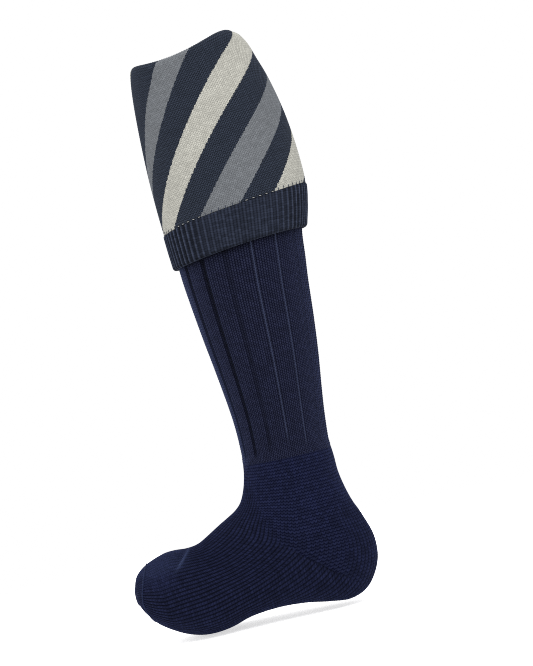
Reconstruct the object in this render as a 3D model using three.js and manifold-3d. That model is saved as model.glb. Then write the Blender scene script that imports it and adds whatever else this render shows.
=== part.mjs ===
// Knee-length knitted sock with a turned-down cuff, in the form that it takes on a lower leg.
// Millimetres, +Z up, toe towards -X, heel towards +X.
// The origin is the centre of the leg opening at the top fold, and the leg's axis runs down from it.
import * as THREE from 'three';
import Module from 'manifold-3d';

const wasm = await Module();
wasm.setup();

// Lengths, in millimetres.
const LEG_LENGTH = 346.5;      // top fold down to the ankle, where the foot begins to turn
const ANKLE_HEIGHT = 133.5;    // the ankle above the sole
const CALF_DEPTH = 126;        // calf size, front to back
const CALF_WIDTH = 106;        // calf size, side to side
const FOOT_LENGTH = 204;       // toe tip to the back of the heel
const FOOT_WIDTH = 78;         // across the ball of the foot
const WALL = 3.0;              // one ply of the wool knit
const RIB_LENGTH = 350;        // top fold down to the last ribbed row
const RIB_GROOVE = 1.7;        // depth of the purl groove between two ribs
const RIB_FADE = 22;           // the last stretch of a rib, where its groove runs out
const CUFF_LENGTH = 141;       // top fold down to the band, at the side
const CUFF_WALL = 3.0;
const CUFF_CLEARANCE = 0.9;    // between the leg and the ply turned down over it
const FOLD_LENGTH = 8;         // how far the cuff reaches down inside the fold, to the leg's own top
const FOLD_HEIGHT = 4.6;       // height of the rounded fold
const BAND_HEIGHT = 31.6;      // the ribbed band at the cuff's lower edge
const BAND_WALL = 3.6;
const BAND_RIB = 0.7;          // height of the band's fine ribs
const BAND_BEAD = 1.2;         // rounding of the band's lower edge
const SEAM_GAP = 0.3;          // between pieces that are knitted on to each other
const GORE_HEIGHT = 57.5;      // the corner of the heel's gore lines, above the sole
const GORE_BACK = 2;           // and behind the leg's axis
const TOE_LENGTH = 18.7;       // toe tip back to the seam that closes the toe
const TOP_RISE = 7.0;          // the top fold is this much higher at the calf, and lower at the shin
const TOP_DIP = 3.6;           // and dips this much at each side
const BAND_RISE = 9.2;         // the band's upper edge is this much higher at the calf
const HEM_RISE = 6.4;          // and its lower edge this much

// Counts and turns.
const RIB_COUNT = 15;          // wide ribs round the leg
const RIB_START = 0.833;       // place of the first groove, as a share of a rib from the shin
const RIB_TURN = -0.20;        // how far the ribs turn round the leg from the ankle to the top, in radians
const RIB_STRAIGHT = 0.43;     // the share of the way up at which a rib is at its named place
const BAND_RIBS = 66;          // fine ribs round the band

// Leg stations. down is a share of LEG_LENGTH, front and back are shares of CALF_DEPTH from the leg's axis,
// and half is a share of half of CALF_WIDTH.
const LEG_COLUMNS = ['down', 'front', 'back', 'half'];
const LEG_TABLE = [
  [-0.021, 0.345, 0.300, 0.80],
  [0.021, 0.352, 0.376, 0.83],
  [0.062, 0.368, 0.417, 0.85],
  [0.118, 0.380, 0.468, 0.89],
  [0.201, 0.387, 0.519, 0.95],
  [0.291, 0.387, 0.550, 0.99],
  [0.374, 0.378, 0.558, 1.00],
  [0.432, 0.367, 0.532, 0.97],
  [0.490, 0.354, 0.497, 0.92],
  [0.549, 0.343, 0.483, 0.88],
  [0.607, 0.325, 0.468, 0.84],
  [0.693, 0.294, 0.452, 0.79],
  [0.779, 0.259, 0.431, 0.73],
  [0.866, 0.226, 0.402, 0.66],
  [0.924, 0.211, 0.385, 0.62],
  [0.981, 0.208, 0.374, 0.59],
];

// Foot stations fan round the ankle. Each has a point on the instep, one on the heel or sole, and one on the side line.
// X columns are shares of FOOT_LENGTH from the leg's axis, up columns are shares of ANKLE_HEIGHT above the sole,
// half is a share of half of FOOT_WIDTH, and box below 1 makes the section squarer.
const FOOT_COLUMNS = ['frontX', 'frontUp', 'backX', 'backUp', 'sideX', 'sideUp', 'half', 'box'];
const FOOT_TABLE = [
  [-0.131, 1.000, 0.232, 1.000, 0.050, 1.000, 0.80, 1.00],
  [-0.137, 0.913, 0.237, 0.913, 0.046, 0.906, 0.79, 1.00],
  [-0.151, 0.827, 0.240, 0.816, 0.040, 0.805, 0.80, 0.99],
  [-0.174, 0.751, 0.251, 0.723, 0.033, 0.712, 0.81, 0.98],
  [-0.204, 0.705, 0.270, 0.618, 0.026, 0.622, 0.82, 0.96],
  [-0.240, 0.672, 0.299, 0.511, 0.020, 0.539, 0.84, 0.95],
  [-0.270, 0.647, 0.327, 0.367, 0.015, 0.478, 0.85, 0.93],
  [-0.294, 0.626, 0.319, 0.216, 0.009, 0.435, 0.85, 0.91],
  [-0.314, 0.608, 0.264, 0.080, 0.000, 0.403, 0.85, 0.89],
  [-0.334, 0.590, 0.186, 0.026, -0.022, 0.367, 0.84, 0.87],
  [-0.354, 0.572, 0.098, 0.036, -0.059, 0.327, 0.83, 0.85],
  [-0.378, 0.554, 0.000, 0.061, -0.118, 0.291, 0.84, 0.84],
  [-0.407, 0.543, -0.108, 0.070, -0.196, 0.262, 0.87, 0.83],
  [-0.441, 0.539, -0.221, 0.054, -0.284, 0.244, 0.93, 0.83],
  [-0.476, 0.543, -0.324, 0.010, -0.373, 0.230, 0.98, 0.84],
  [-0.515, 0.541, -0.412, 0.000, -0.451, 0.234, 0.99, 0.86],
  [-0.554, 0.527, -0.485, 0.024, -0.515, 0.244, 0.95, 0.88],
  [-0.593, 0.504, -0.549, 0.072, -0.574, 0.262, 0.87, 0.90],
  [-0.627, 0.475, -0.603, 0.130, -0.618, 0.284, 0.73, 0.93],
  [-0.654, 0.433, -0.642, 0.203, -0.652, 0.306, 0.52, 0.96],
  [-0.670, 0.374, -0.664, 0.255, -0.669, 0.316, 0.26, 1.00],
];
const TOE_TIP = [-0.675, 0.316];

const lerp = (a, b, t) => a + (b - a) * t;
const sole = -(LEG_LENGTH + ANKLE_HEIGHT);

// Every station in millimetres: front, back and side points as [x, z], half width, squareness.
const legStations = LEG_TABLE.map((row) => {
  const r = Object.fromEntries(LEG_COLUMNS.map((name, i) => [name, row[i]]));
  const z = -r.down * LEG_LENGTH;
  const front = -r.front * CALF_DEPTH;
  const back = r.back * CALF_DEPTH;
  return [front, z, back, z, (front + back) / 2, z, r.half * CALF_WIDTH / 2, 1];
});
const footStations = FOOT_TABLE.map((row) => {
  const r = Object.fromEntries(FOOT_COLUMNS.map((name, i) => [name, row[i]]));
  return [
    r.frontX * FOOT_LENGTH, sole + r.frontUp * ANKLE_HEIGHT,
    r.backX * FOOT_LENGTH, sole + r.backUp * ANKLE_HEIGHT,
    r.sideX * FOOT_LENGTH, sole + r.sideUp * ANKLE_HEIGHT,
    r.half * FOOT_WIDTH / 2, r.box,
  ];
});
const stations = [...legStations, ...footStations];
const lastStation = stations.length - 1;
const toeTip = [TOE_TIP[0] * FOOT_LENGTH, 0, sole + TOE_TIP[1] * ANKLE_HEIGHT];

// The station at any place t along the sock: a cubic through the stations on either side.
function stationAt(t) {
  const i = Math.min(Math.max(Math.floor(t), 0), lastStation - 1);
  const u = t - i;
  const [a, b, c, d] = [Math.max(i - 1, 0), i, i + 1, Math.min(i + 2, lastStation)].map((k) => stations[k]);
  return b.map((_, n) => {
    const slopeIn = (c[n] - a[n]) / 2;
    const slopeOut = (d[n] - b[n]) / 2;
    return (2 * u ** 3 - 3 * u ** 2 + 1) * b[n] + (u ** 3 - 2 * u ** 2 + u) * slopeIn
      + (3 * u ** 2 - 2 * u ** 3) * c[n] + (u ** 3 - u ** 2) * slopeOut;
  });
}

// The place t at which the side line is at height z, by halving.
function placeOf(z) {
  let low = 0;
  let high = legStations.length + 8;
  for (let k = 0; k < 32; k += 1) {
    const mid = (low + high) / 2;
    if (stationAt(mid)[5] > z) low = mid;
    else high = mid;
  }
  return (low + high) / 2;
}

// A point of the outer surface at place t and angle phi (0 is shin and instep, PI is calf, heel and sole),
// with the whole section grown by d.
function surface(t, phi, d = 0) {
  const [frontX, frontZ, backX, backZ, sideX, sideZ, half, box] = stationAt(t);
  const c = Math.cos(phi);
  const s = Math.sin(phi);
  const [farX, farZ] = c >= 0 ? [frontX, frontZ] : [backX, backZ];
  const ray = Math.hypot(farX - sideX, farZ - sideZ);
  const reach = Math.abs(c) ** box * (ray + d) / ray;
  return [
    lerp(sideX, farX, reach),
    (half + d) * Math.sign(s) * Math.abs(s) ** box,
    lerp(sideZ, farZ, reach),
  ];
}
const legPoint = (z, phi, d) => surface(placeOf(z), phi, d);

// The surface point moved along its own normal by d.
function offsetPoint(t, phi, d) {
  const e = 0.02;
  const at = (a, b) => new THREE.Vector3(...surface(a, b));
  const p = at(t, phi);
  const alongSock = at(Math.min(t + e, lastStation), phi).sub(at(Math.max(t - e, 0), phi));
  const round = at(t, phi + e).sub(at(t, phi - e));
  const normal = round.cross(alongSock).normalize();
  const middle = stationAt(t);
  if (normal.dot(p.clone().sub(new THREE.Vector3(middle[4], 0, middle[5]))) < 0) normal.negate();
  return p.addScaledVector(normal, d).toArray();
}

// Points and faces as a manifold solid that faces outward.
function solidOf(points, faces) {
  const volume = faces.reduce((sum, [a, b, c]) => {
    const [p, q, r] = [points[a], points[b], points[c]];
    return sum + p[0] * (q[1] * r[2] - q[2] * r[1]) + p[1] * (q[2] * r[0] - q[0] * r[2])
      + p[2] * (q[0] * r[1] - q[1] * r[0]);
  }, 0);
  const facing = volume > 0 ? faces : faces.map(([a, b, c]) => [a, c, b]);
  return new wasm.Manifold(new wasm.Mesh({
    numProp: 3,
    vertProperties: new Float32Array(points.flat()),
    triVerts: new Uint32Array(facing.flat()),
  }));
}

// A closed solid from rings of points, all of one count, with a point that closes each end.
function tube(rings, firstEnd, lastEnd) {
  const n = rings[0].length;
  const points = [...rings.flat(), firstEnd, lastEnd];
  const first = rings.length * n;
  const base = first - n;
  const faces = [];
  for (let i = 0; i < rings.length - 1; i += 1) {
    for (let j = 0; j < n; j += 1) {
      const k = (j + 1) % n;
      faces.push([i * n + j, i * n + k, i * n + k + n], [i * n + j, i * n + k + n, i * n + j + n]);
    }
  }
  for (let j = 0; j < n; j += 1) {
    const k = (j + 1) % n;
    faces.push([first, k, j], [first + 1, base + j, base + k]);
  }
  return solidOf(points, faces);
}

// A closed hoop: every section is a closed loop of one count, and the last section joins the first.
function hoop(sections) {
  const n = sections[0].length;
  const faces = [];
  sections.forEach((_, i) => {
    const h = (i + 1) % sections.length;
    for (let j = 0; j < n; j += 1) {
      const k = (j + 1) % n;
      faces.push([i * n + j, h * n + j, h * n + k], [i * n + j, h * n + k, i * n + k]);
    }
  });
  return solidOf(sections.flat(), faces);
}

// A block that spans the sock from side to side, with the outline low X, high X, low Z, high Z.
function block(lowX, highX, lowZ, highZ) {
  const reach = CALF_WIDTH + FOOT_WIDTH;
  const corners = [[lowX, lowZ], [highX, lowZ], [highX, highZ], [lowX, highZ]];
  const points = [...corners.map(([x, z]) => [x, -reach, z]), ...corners.map(([x, z]) => [x, reach, z])];
  const faces = [[0, 1, 2], [0, 2, 3], [4, 6, 5], [4, 7, 6]];
  for (let i = 0; i < 4; i += 1) {
    const j = (i + 1) % 4;
    faces.push([i, i + 4, j + 4], [i, j + 4, j]);
  }
  return solidOf(points, faces);
}

const turns = (n) => Array.from({ length: n }, (_, j) => 2 * Math.PI * j / n);
const steps = (n) => Array.from({ length: n + 1 }, (_, i) => i / n);

// Heights round the leg of the folded top edge and of the band's two edges: all rise towards the calf.
const topEdge = (phi) => -TOP_RISE * Math.cos(phi) - TOP_DIP * (1 + Math.sin(phi) ** 2);
const bandTop = (phi) => -CUFF_LENGTH - BAND_RISE * (0.78 * Math.cos(phi) + 0.22 * Math.cos(phi) ** 3);
const bandHem = (phi) => -CUFF_LENGTH - BAND_HEIGHT - HEM_RISE * (Math.cos(phi) + 0.19 * Math.cos(phi) ** 2);

// The bore that the leg and foot go into.
function bore() {
  const rings = steps(32).map((u) => turns(26).map((phi) => offsetPoint(u * (lastStation - 0.35), phi, -WALL)));
  return tube(rings, [0, 0, rings[0][0][2]], [toeTip[0] + WALL, 0, toeTip[2]]);
}

// One wide rib round the leg: share of the rib's width, and height as a share of RIB_GROOVE.
const RIB_TABLE = [
  [0.00, -1.00],
  [0.11, -0.10],
  [0.36, 0.00],
  [0.64, 0.00],
  [0.89, -0.10],
];

// Outer form of the ribbed leg, from inside the fold down past the last ribbed row.
function ribbedForm() {
  const ribbed = Array.from({ length: RIB_COUNT }, (_, k) => RIB_TABLE.map(([share, height]) => ({
    named: 2 * Math.PI * (k + share + RIB_START) / RIB_COUNT, height,
  }))).flat();
  const rings = steps(17).map((u) => ribbed.map(({ named, height }) => {
    const top = topEdge(named + RIB_TURN * (1 - RIB_STRAIGHT)) - FOLD_LENGTH - 2 * SEAM_GAP;
    const z = lerp(top, -RIB_LENGTH - RIB_FADE / 4, u);
    const fade = Math.min(1, Math.max(0, (z + RIB_LENGTH) / RIB_FADE));
    const phi = named + RIB_TURN * (1 + z / LEG_LENGTH - RIB_STRAIGHT);
    return legPoint(z, phi, height * RIB_GROOVE * fade);
  }));
  const end = rings.at(-1)[0][2];
  return tube(rings, [0, 0, rings[0][0][2]], [0, 0, end]);
}

// Outer form of the plain-knit ankle, heel, foot and toe.
function plainForm() {
  const first = placeOf(-RIB_LENGTH) - 0.5;
  const rings = steps(25).map((u) => turns(36).map((phi) => surface(lerp(first, lastStation, u), phi)));
  return tube(rings, [0, 0, rings[0][0][2]], toeTip);
}

// The cuff: the leg's top, turned over outward and down to the band. Inside it ends on the leg's own top edge.
function turnoverCuff() {
  const face = CUFF_CLEARANCE + CUFF_WALL;
  const middle = (face - WALL) / 2;
  const bend = (face + WALL) / 2;
  return hoop(turns(48).map((phi) => {
    const top = topEdge(phi);
    const foot = bandTop(phi) + SEAM_GAP;
    const heights = [0, 0.2, 0.4, 0.6, 0.8].map((share) => lerp(foot, top, share));
    const fold = [0, 0.22, 0.5, 0.78, 1].map((share) => [
      middle + bend * Math.cos(share * Math.PI),
      top - FOLD_HEIGHT + FOLD_HEIGHT * Math.sin(share * Math.PI),
    ]);
    return [
      ...heights.map((z) => [face, z]),
      ...fold,
      [-WALL, top - FOLD_LENGTH],
      [0, top - FOLD_LENGTH],
      [CUFF_CLEARANCE / 2, top - FOLD_HEIGHT - SEAM_GAP],
      [CUFF_CLEARANCE, top - FOLD_LENGTH],
      ...heights.reverse().map((z) => [CUFF_CLEARANCE, z]),
    ].map(([d, z]) => legPoint(z, phi, d));
  }));
}

// The finely ribbed band along the cuff's lower edge.
function cuffBand() {
  const face = CUFF_CLEARANCE + BAND_WALL;
  return hoop(turns(BAND_RIBS * 3).map((phi, j) => {
    const rib = j % 3 === 1 ? -BAND_RIB : 0;
    const top = bandTop(phi);
    const hem = bandHem(phi);
    return [
      [CUFF_CLEARANCE, top],
      [CUFF_CLEARANCE + BAND_BEAD / 4, hem],
      [face + rib / 2, hem + BAND_BEAD],
      [face + BAND_BEAD / 4 + rib, lerp(hem, top, 0.5)],
      [face - BAND_BEAD / 4 + rib, top],
    ].map(([d, z]) => legPoint(z, phi, d));
  }));
}

// A named mesh from a solid.
function meshOf(name, solid, material) {
  const { vertProperties, triVerts, numProp } = solid.getMesh();
  const positions = [];
  for (let i = 0; i < vertProperties.length; i += numProp) {
    positions.push(vertProperties[i], vertProperties[i + 1], vertProperties[i + 2]);
  }
  const geometry = new THREE.BufferGeometry();
  geometry.setAttribute('position', new THREE.Float32BufferAttribute(positions, 3));
  geometry.setIndex(Array.from(triVerts));
  geometry.computeVertexNormals();
  const mesh = new THREE.Mesh(geometry, material);
  mesh.name = name;
  return mesh;
}

function wool(name, color) {
  const material = new THREE.MeshStandardMaterial({ color, roughness: 0.95, metalness: 0 });
  material.name = name;
  return material;
}
const navy = wool('navy_wool', 0x20243a);
const striped = wool('striped_wool', 0x767a7d);
const slate = wool('slate_wool', 0x343c47);

// The one knitted tube is divided where the knitting changes: at the ribs' end, at the heel's two gore edges
// and at the toe seam. Each cut is a plane, with half of SEAM_GAP taken from either side.
const g = SEAM_GAP / 2;
const beyond = LEG_LENGTH + ANKLE_HEIGHT + FOOT_LENGTH;
const inside = bore();
const leg = ribbedForm().subtract(inside).subtract(block(-beyond, beyond, -beyond, -RIB_LENGTH + g));
const plain = plainForm().subtract(inside).subtract(block(-beyond, beyond, -RIB_LENGTH - g, beyond));
const gore = sole + GORE_HEIGHT;
const seam = toeTip[0] + TOE_LENGTH;

const sock = new THREE.Group();
sock.name = 'sock';
sock.add(
  meshOf('turnover_cuff', turnoverCuff(), striped),
  meshOf('cuff_band', cuffBand(), slate),
  meshOf('ribbed_leg', leg, navy),
  meshOf('foot', plain.subtract(block(GORE_BACK - g, beyond, -beyond, gore + g))
    .subtract(block(-beyond, seam + g, -beyond, beyond)), navy),
  meshOf('heel', plain.intersect(block(GORE_BACK + g, beyond, -beyond, gore - g)), navy),
  meshOf('toe', plain.intersect(block(-beyond, seam - g, -beyond, beyond)), navy),
);

export default sock;
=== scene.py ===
# %% [markdown]
# # A knee-length wool sock with a turned-down striped cuff
# The sock stands as it does on a lower leg, with no leg inside. It is knitted as one tube: a striped top that is
# turned over outward, a finely ribbed band on that, a leg of wide ribs, and a plain foot with a turned heel.
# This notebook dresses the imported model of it. Lengths are in millimetres unless a comment says metres.

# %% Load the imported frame
from functools import partial

import bpy
import numpy as np
from mathutils import Matrix


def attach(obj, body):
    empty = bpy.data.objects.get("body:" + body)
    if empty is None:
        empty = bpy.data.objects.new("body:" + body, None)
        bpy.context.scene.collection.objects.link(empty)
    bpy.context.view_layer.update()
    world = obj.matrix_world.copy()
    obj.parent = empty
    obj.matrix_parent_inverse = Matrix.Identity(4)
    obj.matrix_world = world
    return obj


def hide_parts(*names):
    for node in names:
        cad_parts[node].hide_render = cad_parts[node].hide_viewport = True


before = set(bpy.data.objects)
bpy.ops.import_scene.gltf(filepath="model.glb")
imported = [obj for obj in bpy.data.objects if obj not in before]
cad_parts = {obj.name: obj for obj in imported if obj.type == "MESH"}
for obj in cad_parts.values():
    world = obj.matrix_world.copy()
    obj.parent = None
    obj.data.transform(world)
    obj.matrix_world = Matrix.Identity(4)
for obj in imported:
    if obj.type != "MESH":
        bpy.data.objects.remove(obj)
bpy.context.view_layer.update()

# %% [markdown]
# ## The camera
# The photograph looks at the side of the sock from the left, level with the middle of it, and the sock leans in the
# frame. A camera rolled by that lean gives the same picture and leaves the sock upright, which keeps every shape
# simple. The lens makes the frame's height the photograph's height at the sock's axis.

# %% Camera
CAMERA_ROLL = 12.4  # lean of the sock in the frame, degrees
CAMERA_DISTANCE = 1.6  # metres
FRAME_HEIGHT = 0.5541  # metres seen from top to bottom at the sock's axis
FRAME_CENTRE = (0.0156, -0.2467)
SENSOR = 36.0  # millimetres along the frame's long side, which is its height

roll = np.radians(CAMERA_ROLL)
right = (np.cos(roll), 0.0, -np.sin(roll))
up = (np.sin(roll), 0.0, np.cos(roll))
toward_camera = (0.0, -1.0, 0.0)
camera = bpy.data.objects.new("camera", bpy.data.cameras.new("camera"))
camera.data.sensor_width = SENSOR
camera.data.lens = SENSOR * CAMERA_DISTANCE / FRAME_HEIGHT
camera.matrix_world = Matrix([
    (right[0], up[0], toward_camera[0], FRAME_CENTRE[0]),
    (right[1], up[1], toward_camera[1], -CAMERA_DISTANCE),
    (right[2], up[2], toward_camera[2], FRAME_CENTRE[1]),
    (0.0, 0.0, 0.0, 1.0),
])
bpy.context.collection.objects.link(camera)
bpy.context.scene.camera = camera
bpy.context.scene.view_settings.view_transform = "Standard"
# A denoiser takes the grain of the knit for noise, and a wide pixel filter blurs it.
bpy.context.scene.cycles.use_denoising = False
bpy.context.scene.cycles.filter_width = 1.0
print("lens", round(camera.data.lens, 1), "mm")

# %% [markdown]
# ## One helper for every node
# A material in Blender is a graph of nodes. Adding a node always means the same three things: make it, set its
# settings, and connect or fill its sockets. One small function does that. Colours go through another, because a
# colour picked on a screen is stored with a curve that the renderer's sums must not see.


# %% Node and colour helpers
def linear(code):
    """A hex colour as seen on a screen, as linear red, green, blue and alpha.

    Each channel c from 0 to 1 becomes ((c + 0.055) / 1.055) ** 2.4, or c / 12.92 where it is very dark.
    """
    c = np.array([int(code[i:i + 2], 16) for i in (1, 3, 5)]) / 255
    return (*np.where(c > 0.04045, ((c + 0.055) / 1.055) ** 2.4, c / 12.92), 1.0)


def fill(node, sockets):
    """Give each named or numbered input a value or another node's output. A node stands for its first output."""
    for key, value in sockets.items():
        if isinstance(value, bpy.types.Node):
            value = value.outputs[0]
        if isinstance(value, bpy.types.NodeSocket):
            node.id_data.links.new(value, node.inputs[key])
        else:
            node.inputs[key].default_value = value


def add_node(tree, kind, sockets, **settings):
    """Add a shader node of this kind, named without its ShaderNode, with these settings and filled sockets."""
    node = tree.nodes.new("ShaderNode" + kind)
    for key, value in settings.items():
        setattr(node, key, value)
    fill(node, sockets)
    return node


# %% [markdown]
# ## The plain pale stage
# A catalogue picture is taken on white with large soft lamps. The world is a soft white all round, and the floor a
# matt pale light table that glows a little, so that the shadow under the foot stays soft. Two wide area lamps give
# the wool its gentle modelling: one high at the front, and a weaker one from the side of the toe.

# %% Floor, world and lamps
SOLE = -480.0  # height of the floor under the sock, millimetres
FLOOR_GAP = 0.0015  # the floor lies this much lower, metres, so that the knit's relief clears it
FLOOR_RADIUS = 0.75  # metres
FLOOR_SIDES = 96

floor_mesh = bpy.data.meshes.new("floor")
turn = np.linspace(0, 2 * np.pi, FLOOR_SIDES + 1)[:-1]
rim = np.stack([np.cos(turn) * FLOOR_RADIUS, np.sin(turn) * FLOOR_RADIUS,
                np.full(FLOOR_SIDES, SOLE / 1000 - FLOOR_GAP)], 1)
floor_mesh.from_pydata(rim.tolist(), [], [tuple(range(FLOOR_SIDES))])
floor = bpy.data.objects.new("floor", floor_mesh)
bpy.context.collection.objects.link(floor)
paper = bpy.data.materials.new("matt_white_light_table")
paper.use_nodes = True
fill(paper.node_tree.nodes["Principled BSDF"],
     {"Base Color": linear("#f6f6f6"), "Roughness": 0.9, "Specular IOR Level": 0.1,
      "Emission Color": (1.0, 1.0, 1.0, 1.0), "Emission Strength": 0.6})
floor_mesh.materials.append(paper)

world = bpy.data.worlds.new("soft_white")
world.use_nodes = True
fill(world.node_tree.nodes["Background"], {"Color": (1.0, 1.0, 1.0, 1.0), "Strength": 1.0})
bpy.context.scene.world = world

# Each lamp: its name, power in watts, size, place and the point it is aimed at, in metres.
for name, power, size, place, aim in (
    ("key_lamp", 42.0, 1.6, (0.3, -1.1, 1.5), (0.0, 0.0, -0.25)),
    ("toe_lamp", 9.0, 1.2, (-1.4, 0.2, 0.6), (0.0, 0.0, -0.35)),
):
    lamp = bpy.data.objects.new(name, bpy.data.lights.new(name, "AREA"))
    lamp.data.energy = power
    lamp.data.size = size
    away = np.array(place) - np.array(aim)
    away = away / np.linalg.norm(away)
    side = np.cross((0.0, 0.0, 1.0), away)
    side = side / np.linalg.norm(side)
    frame_axes = np.stack([side, np.cross(away, side), away], 1)
    lamp.matrix_world = Matrix([(*row, at) for row, at in zip(frame_axes.tolist(), place)] + [(0, 0, 0, 1)])
    bpy.context.collection.objects.link(lamp)
    print(name, power, "W")

# %% [markdown]
# ## The form of the worn sock
# The whole sock is one bent tube, so it is one surface of two parameters: the place t along the tube, and the angle
# phi round it, with 0 at the shin and instep and half a turn at the calf, heel and sole. Short tables hold the
# outline at its stations, and a smooth curve runs through them. The solid model is lofted through the same tables,
# so everything here lies on the solids.

# %% Named sizes and stations
LEG_LENGTH = 346.5  # top fold down to the ankle
ANKLE_HEIGHT = 133.5  # the ankle above the sole
CALF_DEPTH = 126.0  # front to back
CALF_WIDTH = 106.0  # side to side
FOOT_LENGTH = 204.0  # toe tip to the back of the heel
FOOT_WIDTH = 78.0  # across the ball of the foot
WALL = 3.0  # one ply of the knit

# down, as a share of LEG_LENGTH; front and back, as shares of CALF_DEPTH; half, as a share of half of CALF_WIDTH
LEG_TABLE = np.array([
    (-0.021, 0.345, 0.300, 0.80),
    (0.021, 0.352, 0.376, 0.83),
    (0.062, 0.368, 0.417, 0.85),
    (0.118, 0.380, 0.468, 0.89),
    (0.201, 0.387, 0.519, 0.95),
    (0.291, 0.387, 0.550, 0.99),
    (0.374, 0.378, 0.558, 1.00),
    (0.432, 0.367, 0.532, 0.97),
    (0.490, 0.354, 0.497, 0.92),
    (0.549, 0.343, 0.483, 0.88),
    (0.607, 0.325, 0.468, 0.84),
    (0.693, 0.294, 0.452, 0.79),
    (0.779, 0.259, 0.431, 0.73),
    (0.866, 0.226, 0.402, 0.66),
    (0.924, 0.211, 0.385, 0.62),
    (0.981, 0.208, 0.374, 0.59),
])
# frontX, frontUp, backX, backUp, sideX, sideUp, as shares of FOOT_LENGTH and of ANKLE_HEIGHT above the sole;
# half, as a share of half of FOOT_WIDTH; box, the squareness of the section
FOOT_TABLE = np.array([
    (-0.131, 1.000, 0.232, 1.000, 0.050, 1.000, 0.80, 1.00),
    (-0.137, 0.913, 0.237, 0.913, 0.046, 0.906, 0.79, 1.00),
    (-0.151, 0.827, 0.240, 0.816, 0.040, 0.805, 0.80, 0.99),
    (-0.174, 0.751, 0.251, 0.723, 0.033, 0.712, 0.81, 0.98),
    (-0.204, 0.705, 0.270, 0.618, 0.026, 0.622, 0.82, 0.96),
    (-0.240, 0.672, 0.299, 0.511, 0.020, 0.539, 0.84, 0.95),
    (-0.270, 0.647, 0.327, 0.367, 0.015, 0.478, 0.85, 0.93),
    (-0.294, 0.626, 0.319, 0.216, 0.009, 0.435, 0.85, 0.91),
    (-0.314, 0.608, 0.264, 0.080, 0.000, 0.403, 0.85, 0.89),
    (-0.334, 0.590, 0.186, 0.026, -0.022, 0.367, 0.84, 0.87),
    (-0.354, 0.572, 0.098, 0.036, -0.059, 0.327, 0.83, 0.85),
    (-0.378, 0.554, 0.000, 0.061, -0.118, 0.291, 0.84, 0.84),
    (-0.407, 0.543, -0.108, 0.070, -0.196, 0.262, 0.87, 0.83),
    (-0.441, 0.539, -0.221, 0.054, -0.284, 0.244, 0.93, 0.83),
    (-0.476, 0.543, -0.324, 0.010, -0.373, 0.230, 0.98, 0.84),
    (-0.515, 0.541, -0.412, 0.000, -0.451, 0.234, 0.99, 0.86),
    (-0.554, 0.527, -0.485, 0.024, -0.515, 0.244, 0.95, 0.88),
    (-0.593, 0.504, -0.549, 0.072, -0.574, 0.262, 0.87, 0.90),
    (-0.627, 0.475, -0.603, 0.130, -0.618, 0.284, 0.73, 0.93),
    (-0.654, 0.433, -0.642, 0.203, -0.652, 0.306, 0.52, 0.96),
    (-0.670, 0.374, -0.664, 0.255, -0.669, 0.316, 0.26, 1.00),
])
TOE_TIP = (-0.675, 0.316)

down, front, back, half = LEG_TABLE.T
leg_z = -down * LEG_LENGTH
leg_rows = np.stack([-front * CALF_DEPTH, leg_z, back * CALF_DEPTH, leg_z, (back - front) * CALF_DEPTH / 2, leg_z,
                     half * CALF_WIDTH / 2, np.ones_like(half)], 1)
foot_scale = (FOOT_LENGTH, ANKLE_HEIGHT) * 3 + (FOOT_WIDTH / 2, 1)
foot_shift = (0, SOLE) * 3 + (0, 0)
STATIONS = np.vstack([leg_rows, FOOT_TABLE * foot_scale + foot_shift])
LAST = len(STATIONS) - 1
toe_tip = np.array([TOE_TIP[0] * FOOT_LENGTH, 0.0, SOLE + TOE_TIP[1] * ANKLE_HEIGHT])
print(len(STATIONS), "stations")


# %% The surface
def station_at(t):
    """The station at place t: a cubic through the four stations around it."""
    i = np.clip(np.floor(t).astype(int), 0, LAST - 1)
    u = (t - i)[..., None]
    a, b, c, d = (STATIONS[np.clip(i + k, 0, LAST)] for k in (-1, 0, 1, 2))
    return ((2 * u ** 3 - 3 * u ** 2 + 1) * b + (u ** 3 - 2 * u ** 2 + u) * (c - a) / 2
            + (3 * u ** 2 - 2 * u ** 3) * c + (u ** 3 - u ** 2) * (d - b) / 2)


def skin(t, phi, grow=0.0):
    """A point of the sock's outer surface, for arrays of places t and angles phi.

    From the side point the section reaches towards its front or back point by |cos phi| to the power of its
    squareness, and out to the side by |sin phi| to the same power. grow widens the whole section.
    """
    t, phi, grow = np.broadcast_arrays(np.asarray(t, float), phi, grow)
    front_x, front_z, back_x, back_z, side_x, side_z, half, box = np.moveaxis(station_at(t), -1, 0)
    c, s = np.cos(phi), np.sin(phi)
    far_x = np.where(c >= 0, front_x, back_x)
    far_z = np.where(c >= 0, front_z, back_z)
    ray = np.hypot(far_x - side_x, far_z - side_z)
    reach = np.abs(c) ** box * (ray + grow) / ray
    return np.stack([side_x + (far_x - side_x) * reach,
                     (half + grow) * np.sign(s) * np.abs(s) ** box,
                     side_z + (far_z - side_z) * reach], -1)


SIDE_FALLS_TO = 29  # the side line goes steadily down as far as this station
fine_places = np.linspace(0, SIDE_FALLS_TO, 100 * SIDE_FALLS_TO + 1)
fine_heights = station_at(fine_places)[:, 5]


def place_of(z):
    """The place t at which the side line is at height z, read back from a fine list of places."""
    return np.interp(-np.asarray(z, float), -fine_heights, fine_places)


def smooth(x):
    """0 below 0, 1 above 1, and an S-shaped step between them: 3x squared less 2x cubed."""
    x = np.clip(x, 0, 1)
    return x * x * (3 - 2 * x)


# %% [markdown]
# ## Turning grids into meshes
# Every piece is a closed shell of knit: an outer face, a wall and an inner face. As a grid that is a set of rows
# round the leg, each closed on itself. Either the last row joins the first, which makes a hoop, or the two ends
# shrink to a point, which makes a bag. The UV map counts knitted stitches, wales across and courses along, and the
# wool's pattern reads it.


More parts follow.
